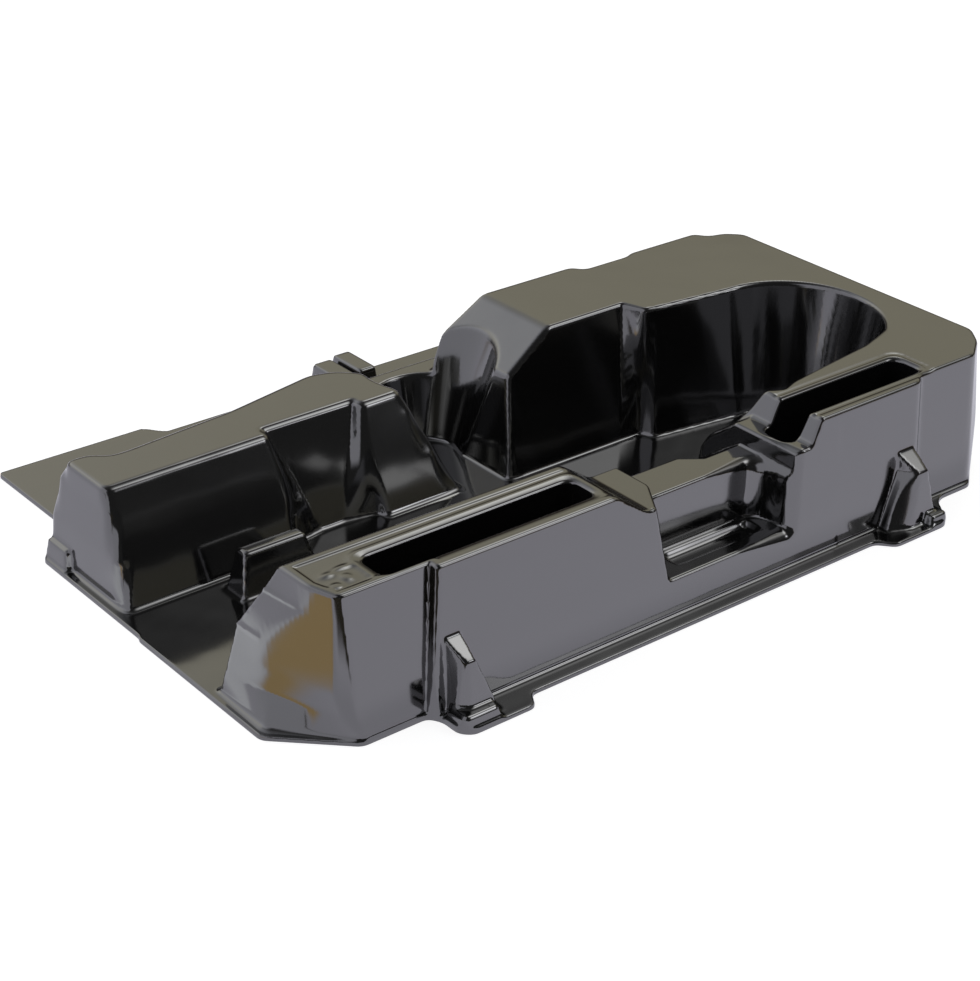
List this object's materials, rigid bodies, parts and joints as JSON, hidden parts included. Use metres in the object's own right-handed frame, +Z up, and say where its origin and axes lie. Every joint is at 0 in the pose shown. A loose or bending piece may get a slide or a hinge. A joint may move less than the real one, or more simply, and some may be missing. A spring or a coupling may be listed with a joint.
{
  "type": "tool case insert",
  "caption": "One-piece formed plastic tray that fills a tool case, with ridges, a deep channel, a round pocket, long slots and a finger recess.",
  "frame": {"origin": "middle of the base plate, on the surface it rests on", "axes": "+X along the length towards the tall block, +Y to the back flange, +Z up"},
  "size_m": [0.368, 0.276, 0.0605],
  "materials": {
    "black_sheet": "glossy black formed sheet, slightly uneven"
  },
  "bodies": {
    "root": {"insert": "black_sheet"}
  },
  "joints": []
}
